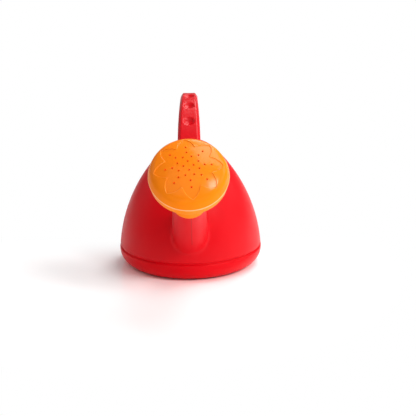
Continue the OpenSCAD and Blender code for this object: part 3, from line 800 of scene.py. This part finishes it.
def face_skin():
    """The rose's face: dome with a sunk flower and open holes, shoulder, skirt, lip and plug ring.

    The grid is polar. Inside the flower its rows swell from circles to the flower's outline, so that the
    outline's wall is a set of rows; outside they go back to circles. Each hole is a window in the grid.
    """
    skin = Skin()
    columns = PETALS * PETAL_COLUMNS
    gap = 2 * np.pi / columns
    beta = np.arange(columns) * gap
    turn = polar(beta + PETAL_TURN - np.pi / 2)
    outline = petal_edge(beta)
    for _ in range(3):
        outline = (np.roll(outline, 1) + 2 * outline + np.roll(outline, -1)) / 4
    slope = (np.roll(outline, -1) - np.roll(outline, 1)) / (2 * gap)
    stretch = np.sqrt(1 + (slope / outline) ** 2)

    # Flower floor, wall of the flower's outline and dome outside it, at distances from the outline
    floor_to, wall_from, wall_to, dome_from, round_from = -1.1, -0.9, 0.4, 0.6, 0.75
    t = shares(FLOWER_ROWS)[1:, None]
    edge_in = outline + floor_to * stretch
    swell = mix(edge_in.mean(), edge_in, smooth(t))
    floor_r = t * swell
    wall_r = outline + np.linspace(wall_from, wall_to, 10)[:, None] * stretch
    end_r = SHOULDER_C[0] + DOME_TO * SHOULDER_R
    dome_r = mix(outline + dome_from * stretch, end_r, shares(8)[:, None])
    top_r = np.vstack([floor_r, wall_r, dome_r])
    depth = flower_depth((outline - top_r) / stretch)
    top = on_rose(top_r[..., None] * turn, face_point(top_r) - depth)

    # Shoulder, skirt, lip, plug ring
    from_angle = np.arccos((end_r - SHOULDER_C[0]) / SHOULDER_R)
    skirt_top = SHOULDER_C + SHOULDER_R * SKIRT_IN
    lip_trim, lip_soft, plug_soft, plug_round = 0.05, 0.35, 0.2, 0.4
    lip = arc(LIP_C, RIM_T / 2 - lip_trim, LIP_TURN, -np.pi / 2, 10)
    plug_out = PLUG_R - PLUG_GAP
    plug_in = plug_out - ROSE_WALL
    side = np.vstack([
        arc(SHOULDER_C, SHOULDER_R, from_angle, SHOULDER_END, 10)[1:],
        straight(skirt_top, SKIRT_FOOT, 6)[1:-1],
        soft_corner(skirt_top, SKIRT_FOOT, lip[1], lip_soft, 4),
        lip[2:],
        [[plug_out + plug_soft, 0.0], [plug_out, -plug_soft]],
        arc([plug_out - plug_round, -PLUG_DEPTH + plug_round], plug_round, 0.0, -np.pi / 2, 3),
        [[plug_in, -PLUG_DEPTH], [plug_in, RIM_T]],
        arc(SHOULDER_C, SHOULDER_R - ROSE_WALL, SHOULDER_END, from_angle, 6)[:-1],
    ])
    rim = on_rose(side[:, None, :1] * turn, np.repeat(side[:, 1:], columns, 1))
    under_end = SHOULDER_C[0] + (SHOULDER_R - ROSE_WALL) * np.cos(from_angle)
    under_r = t * mix(swell, under_end, smooth((t - round_from) / (1 - round_from)))
    under = on_rose(under_r[..., None] * turn, face_point(under_r, ROSE_WALL))
    top_ids, rim_ids, under_ids = skin.add(top), skin.add(rim), skin.add(under)
    shine = 1 - smooth((top_r - outline.max()) / (end_r - outline.max()))
    # The lip's rows take the coat and a painted highlight, a pale line laid into their colour
    on_lip = 1.0 * (side[:, 1:] <= LIP_SHARE * RIM_T)
    skin.marks["polish"] += [(top_ids, shine), (rim_ids, on_lip)]
    skin.marks["lip"].append((rim_ids, on_lip))

    # Holes: a window in the floor and in the underside, led round to a circle, and a wall between the two
    keep = np.ones((len(top_ids) - 1, columns), bool)
    w = shares(3)[1:, None, None]
    for ring_r, count, shift in HOLE_RINGS:
        top_h = face_point(np.array(ring_r)) - PETAL_DEPTH
        hole_h = np.append(top_h - HOLE_DOWN, face_point(np.array(ring_r), ROSE_WALL))
        tall, wide = 2, int(np.ceil(HOLE_WINDOW / (ring_r * gap)))
        for k in range(count):
            angle = (k + shift * count / PETALS) * 2 * np.pi / count
            column = int(round(angle / gap))
            row = int(np.argmin(np.abs(floor_r[:, column % columns] - ring_r)))
            r0, r1, c0, c1 = row - tall, row + tall, column - wide, column + wide
            rows, cols = block_border(r0, r1, c0, c1)
            cols = cols % columns
            keep[r0:r1, np.arange(c0, c1) % columns] = False
            middle = ring_r * turn[column % columns]
            border = floor_r[rows, cols][:, None] * turn[cols]
            away = border - middle
            circle = away / np.linalg.norm(away, axis=1)[:, None]
            lead = mix(border, middle + (HOLE_R + HOLE_LEAD) * circle, w)
            lead_h = face_point(np.linalg.norm(lead, axis=-1)) - PETAL_DEPTH
            hole = middle + HOLE_OUT[:, None, None] * circle + HOLE_R * circle
            back = mix(middle + HOLE_R * circle, border, w[:-1])
            back_h = face_point(np.linalg.norm(back, axis=-1), ROSE_WALL)
            plane = np.vstack([lead, hole, back])
            high = np.vstack([lead_h, np.repeat(hole_h[:, None], len(rows), 1), back_h])
            ids = skin.add(on_rose(plane, high))
            # Hole walls carry the bore mark: painted shade, and a painted glow for light through the thin wall
            skin.marks["bore"].append((ids[len(lead) - 1 : len(lead) + len(hole)], 1.0))
            skin.marks["polish"].append((ids[: len(lead)], 1.0))
            skin.tube(np.vstack([top_ids[rows, cols], ids, under_ids[rows, cols]]))
    skin.tube(top_ids, keep)
    skin.tube(under_ids, keep[: len(under_ids) - 1])
    skin.tube(np.vstack([top_ids[-1:], rim_ids, under_ids[-1:]]))
    skin.pole(RIM_P + (FACE_H - PETAL_DEPTH) * SPOUT_AXIS, top_ids[0])
    skin.pole(RIM_P + (FACE_H - ROSE_WALL) * SPOUT_AXIS, under_ids[0])
    return skin


def plug(tree, socket, value):
    """Puts a plain value or another node's socket on an input."""
    if isinstance(value, bpy.types.NodeSocket):
        tree.links.new(value, socket)
    else:
        socket.default_value = value


def feed(tree, node, **inputs):
    """Plugs the inputs of a node by their names, with _ for a blank."""
    for label, value in inputs.items():
        plug(tree, node.inputs[label.replace("_", " ")], value)
    return node


def new_node(tree, kind, **inputs):
    """A new node with its inputs fed."""
    return feed(tree, tree.nodes.new(kind), **inputs)


def noise(tree, where, scale, detail):
    """A noise texture at the given place in the object."""
    return new_node(tree, "ShaderNodeTexNoise", Vector=where, Scale=scale, Detail=detail).outputs["Fac"]


def between(tree, value, low, high):
    """A soft step of a value from 0 at low to 1 at high."""
    node = new_node(tree, "ShaderNodeMapRange", Value=value, From_Min=low, From_Max=high)
    node.interpolation_type = "SMOOTHSTEP"
    return node.outputs["Result"]


def maths(tree, operation, first, second, kind="ShaderNodeMath", output="Value"):
    """Two values or vectors put together, each plain or from a socket."""
    node = tree.nodes.new(kind)
    node.operation = operation
    plug(tree, node.inputs[0], first)
    plug(tree, node.inputs[1], second)
    return node.outputs[output]


def stored(tree, name):
    """The share that a piece stores at its points under a name."""
    node = tree.nodes.new("ShaderNodeAttribute")
    node.attribute_name = name
    return node.outputs["Fac"]


def laid(tree, share, colour, under):
    """A colour laid by a share over another one, plain or from a socket."""
    node = tree.nodes.new("ShaderNodeMix")
    node.data_type = "RGBA"
    below = (*under, 1.0) if isinstance(under, tuple) else under
    return feed(tree, node, Factor=share, A=below, B=(*colour, 1.0)).outputs["Result"]


def moulded_plastic():
    """Shared finish of moulded plastic, as four values.

    Cloud is the uneven pigment. Wear is patchy rubbing on small outer rounds. Roughness is a patchy gloss,
    duller where the plastic is worn or scuffed. Height is a fine pebbled skin with faint scuffs drawn along
    the sides.
    """
    # A grain is a noise's scale and detail, a span the values between which a step of it runs
    cloud_grain, rub_grain, patch_grain, pebble_grain = (18.0, 3.0), (90.0, 4.0), (55.0, 4.0), (1100.0, 2.0)
    rub_span, streak_span, scuff_span, gloss_span = (0.35, 0.65), (0.66, 0.76), (0.5, 0.7), (0.3, 0.7)
    streak_scale, streak_grain, scuff_dull, scuff_depth = (40.0, 40.0, 900.0), (1.0, 1.0), 0.1, 0.3
    group = bpy.data.node_groups.new("moulded_plastic", "ShaderNodeTree")
    for label in ("Gloss low", "Gloss high"):
        group.interface.new_socket(label, in_out="INPUT", socket_type="NodeSocketFloat")
    for label in ("Cloud", "Wear", "Roughness", "Height"):
        group.interface.new_socket(label, in_out="OUTPUT", socket_type="NodeSocketFloat")
    taken, given = group.nodes.new("NodeGroupInput"), group.nodes.new("NodeGroupOutput")
    where = group.nodes.new("ShaderNodeTexCoord").outputs["Object"]
    cloud = noise(group, where, *cloud_grain)
    rubbed = between(group, noise(group, where, *rub_grain), *rub_span)
    wear = maths(group, "MULTIPLY", stored(group, "edge"), rubbed)

    along = maths(group, "MULTIPLY", where, streak_scale, "ShaderNodeVectorMath", "Vector")
    streak = between(group, noise(group, along, *streak_grain), *streak_span)
    patch = noise(group, where, *patch_grain)
    scuff = maths(group, "MULTIPLY", streak, between(group, patch, *scuff_span))

    gloss = new_node(group, "ShaderNodeMapRange", Value=patch)
    feed(group, gloss, From_Min=gloss_span[0], From_Max=gloss_span[1])
    feed(group, gloss, To_Min=taken.outputs["Gloss low"], To_Max=taken.outputs["Gloss high"])
    dull = maths(group, "MULTIPLY", maths(group, "ADD", wear, scuff), scuff_dull)
    rough = maths(group, "ADD", gloss.outputs["Result"], dull)
    scratch = maths(group, "MULTIPLY", scuff, scuff_depth)
    height = maths(group, "SUBTRACT", noise(group, where, *pebble_grain), scratch)
    feed(group, given, Cloud=cloud, Wear=wear, Roughness=rough, Height=height)
    return group


# Shades are deep, pale and worn. The rose also has a painted highlight on its lip, painted shade on its hole
# walls and a painted glow there for light through the thin wall.
RED = (0.60, 0.0004, 0.005), (0.68, 0.0008, 0.006), (0.70, 0.004, 0.008)
# The seam's darker red is painted shade along the parting line; its low ridge is real
SEAM_PAINTED_SHADE = (0.43, 0.0003, 0.002), (0.48, 0.0006, 0.003), (0.55, 0.01, 0.012)
ORANGE = (0.93, 0.21, 0.002), (0.97, 0.238, 0.004), (1.0, 0.34, 0.04)
HOLE_PAINTED_SHADE, LIP_PAINTED_HIGHLIGHT, HOLE_PAINTED_GLOW = (0.25, 0.01, 0.001), (1.0, 0.5, 0.22), (0.9, 0.085, 0.002)
FACE_COAT, COAT_ROUGHNESS, PEBBLE_H = 0.32, 0.18, 0.0002
FINISH = moulded_plastic()


def plastic(name, shades, gloss, pebble, specular):
    """A coloured plastic: the shared finish tints it between deep and pale, wears it and pebbles it."""
    deep, pale, worn = shades
    material = bpy.data.materials.new(name)
    material.use_nodes = True
    tree = material.node_tree
    shader = tree.nodes["Principled BSDF"]
    finish = tree.nodes.new("ShaderNodeGroup")
    finish.node_tree = FINISH
    feed(tree, finish, Gloss_low=gloss[0], Gloss_high=gloss[1])
    colour = laid(tree, finish.outputs["Wear"], worn, laid(tree, finish.outputs["Cloud"], pale, deep))
    bump = new_node(tree, "ShaderNodeBump", Strength=pebble, Distance=PEBBLE_H)
    feed(tree, bump, Height=finish.outputs["Height"])
    feed(tree, shader, Base_Color=colour, Roughness=finish.outputs["Roughness"])
    feed(tree, shader, Normal=bump.outputs["Normal"], Specular_IOR_Level=specular)
    return material


def mark_rose(material):
    """Gives the rose's plastic a painted highlight on its lip, painted shade in its holes with a painted glow
    for light through the thin wall, and a polished face.
    """
    tree = material.node_tree
    shader = tree.nodes["Principled BSDF"]
    under = shader.inputs["Base Color"].links[0].from_socket
    bore = stored(tree, "bore")
    # Painted shade on the hole walls over a painted highlight on the lip; below, a painted glow in the holes
    colour = laid(tree, bore, HOLE_PAINTED_SHADE, laid(tree, stored(tree, "lip"), LIP_PAINTED_HIGHLIGHT, under))
    painted_glow = laid(tree, bore, HOLE_PAINTED_GLOW, (0.0, 0.0, 0.0))
    polish = maths(tree, "MULTIPLY", stored(tree, "polish"), FACE_COAT)
    feed(tree, shader, Base_Color=colour, Emission_Color=painted_glow, Emission_Strength=1.0)
    feed(tree, shader, Coat_Weight=polish, Coat_Roughness=COAT_ROUGHNESS)


body_red = plastic("body_red", RED, (0.36, 0.44), 0.08, 0.13)
seam_painted_shade_red = plastic("seam_painted_shade_red", SEAM_PAINTED_SHADE, (0.36, 0.44), 0.08, 0.13)
base_red = plastic("base_red", RED, (0.30, 0.36), 0.03, 0.07)
handle_red = plastic("handle_red", RED, (0.26, 0.33), 0.05, 0.24)
rose_orange = plastic("rose_orange", ORANGE, (0.30, 0.36), 0.05, 0.04)
mark_rose(rose_orange)

piece("body", body_skin(), "can", "body_shell", body_red)
# The parting line's ridge, coloured with painted shade
piece("spout_parting_line", parting_line_skin(), "can", None, seam_painted_shade_red)
piece("base", base_skin(), "can", "base_pan", base_red)
piece("handle_grip", handle_skin(1, GRIP_WALL, True), "can", "handle_outer_shell", handle_red)
piece("handle_inside", handle_skin(-1, WALL, False), "can", "handle_inner_shell", handle_red)
piece("rose_neck", funnel_skin(), "rose", "rose_funnel", rose_orange)
piece("rose_flower_face", face_skin(), "rose_cap", "rose_face", rose_orange)


def studio_floor():
    """A pale floor, matt with a gloss that grows at a flat angle and mirrors the can's red foot.

    To the camera it turns to a painted white away from the can, behind it, where this hides the key light's
    shadow, and by a half in front of it, which lightens the shade there. Near the can it keeps the shadow.
    """
    reach, matt_share, gloss_roughness, gloss_ior = 6.0, 0.92, 0.2, 3.2
    shadow_middle, far_span = (-0.05, -0.03, 0.0), (0.10, 0.26)
    behind_span, front_span, front_share = (-0.01, 0.07), (-0.066, -0.12), 0.5
    mesh = bpy.data.meshes.new("floor")
    corners = reach * np.array([(-1, -1, 0), (1, -1, 0), (1, 1, 0), (-1, 1, 0)])
    mesh.from_pydata(corners.tolist(), [], [(0, 1, 2, 3)])
    material = bpy.data.materials.new("floor_white")
    material.use_nodes = True
    tree = material.node_tree
    nodes, links = tree.nodes, tree.links
    nodes.clear()
    matt = new_node(tree, "ShaderNodeBsdfDiffuse", Color=(matt_share, matt_share, matt_share, 1.0))
    angle = new_node(tree, "ShaderNodeFresnel", IOR=gloss_ior).outputs["Fac"]
    gloss = new_node(tree, "ShaderNodeBsdfGlossy", Color=angle, Roughness=gloss_roughness)
    mirror = nodes.new("ShaderNodeAddShader")
    links.new(matt.outputs["BSDF"], mirror.inputs[0])
    links.new(gloss.outputs["BSDF"], mirror.inputs[1])
    white = nodes.new("ShaderNodeEmission")
    where = nodes.new("ShaderNodeTexCoord").outputs["Object"]
    away = maths(tree, "DISTANCE", where, shadow_middle, "ShaderNodeVectorMath")
    y = new_node(tree, "ShaderNodeSeparateXYZ", Vector=where).outputs["Y"]
    # Shares of painted white: far off, behind the can over the key light's shadow, and half in front over the
    # shade there
    far = between(tree, away, *far_span)
    behind = between(tree, y, *behind_span)
    front = maths(tree, "MULTIPLY", between(tree, y, *front_span), front_share)
    plain = maths(tree, "MAXIMUM", maths(tree, "MAXIMUM", far, behind), front)
    ray = nodes.new("ShaderNodeLightPath").outputs["Is Camera Ray"]
    share = new_node(tree, "ShaderNodeMixShader", Fac=maths(tree, "MULTIPLY", plain, ray))
    links.new(mirror.outputs["Shader"], share.inputs[1])
    links.new(white.outputs["Emission"], share.inputs[2])
    new_node(tree, "ShaderNodeOutputMaterial", Surface=share.outputs["Shader"])
    mesh.materials.append(material)
    floor = new_object("floor", mesh)


def studio_world(level):
    """White behind the object for the camera, and a plain grey level of light all round."""
    world = bpy.data.worlds.new("studio")
    bpy.context.scene.world = world
    world.use_nodes = True
    tree = world.node_tree
    ray = tree.nodes.new("ShaderNodeLightPath").outputs["Is Camera Ray"]
    strength = new_node(tree, "ShaderNodeMix", Factor=ray, A=level, B=1.0).outputs["Result"]
    feed(tree, tree.nodes["Background"], Color=(1.0, 1.0, 1.0, 1.0), Strength=strength)


def soft_box(name, bearing, rise, size, watts):
    """A square soft light that faces the can from afar; the bearing runs from the front towards the right."""
    far, aim = 1.5, np.array([0.0, 0.0, 0.06])
    lamp = bpy.data.lights.new(name, "AREA")
    lamp.shape = "SQUARE"
    lamp.size = size
    lamp.energy = watts
    obj = new_object(name, lamp)
    bearing, rise = np.radians([bearing, rise])
    toward = np.array([np.cos(rise) * np.sin(bearing), -np.cos(rise) * np.cos(bearing), np.sin(rise)])
    obj.location = aim + far * toward
    obj.rotation_euler = (np.pi / 2 - rise, 0.0, bearing)


studio_floor()
studio_world(0.24)
soft_box("key_light", 45, 38, 0.36, 9.3)
soft_box("front_fill", -12, 50, 1.2, 3.3)
soft_box("high_right", 115, 65, 0.9, 11.6)
soft_box("right_side", 105, 30, 0.7, 3.3)
soft_box("rear_right", 160, 45, 0.6, 5.8)
soft_box("low_right", 74, 16, 0.9, 3.0)
soft_box("left_rim", -105, 24, 0.9, 1.5)


def photo_camera():
    """The photograph's view along +Y and downwards, turned and leaned a little as it was held."""
    far, aim, aside, above = 1.31, np.array([0.0, 0.0, 0.04]), 0.0086, 0.01296
    tilt, turn, lean = np.radians([16.78, 0.40, 0.63])
    data = bpy.data.cameras.new("camera")
    data.sensor_width = 36.0
    data.lens = 114.0
    camera = new_object("camera", data)
    back = np.array([0.0, -np.cos(tilt), np.sin(tilt)])
    up = np.array([0.0, np.sin(tilt), np.cos(tilt)])
    camera.location = aim + far * back + aside * X_AXIS + above * up
    down = Matrix.Rotation(np.pi / 2 - tilt, 3, "X")
    held = Matrix.Rotation(-turn, 3, "Y") @ Matrix.Rotation(-lean, 3, "Z")
    camera.rotation_euler = (down @ held).to_euler()
    bpy.context.scene.camera = camera


photo_camera()
bpy.context.scene.view_settings.view_transform = "Standard"
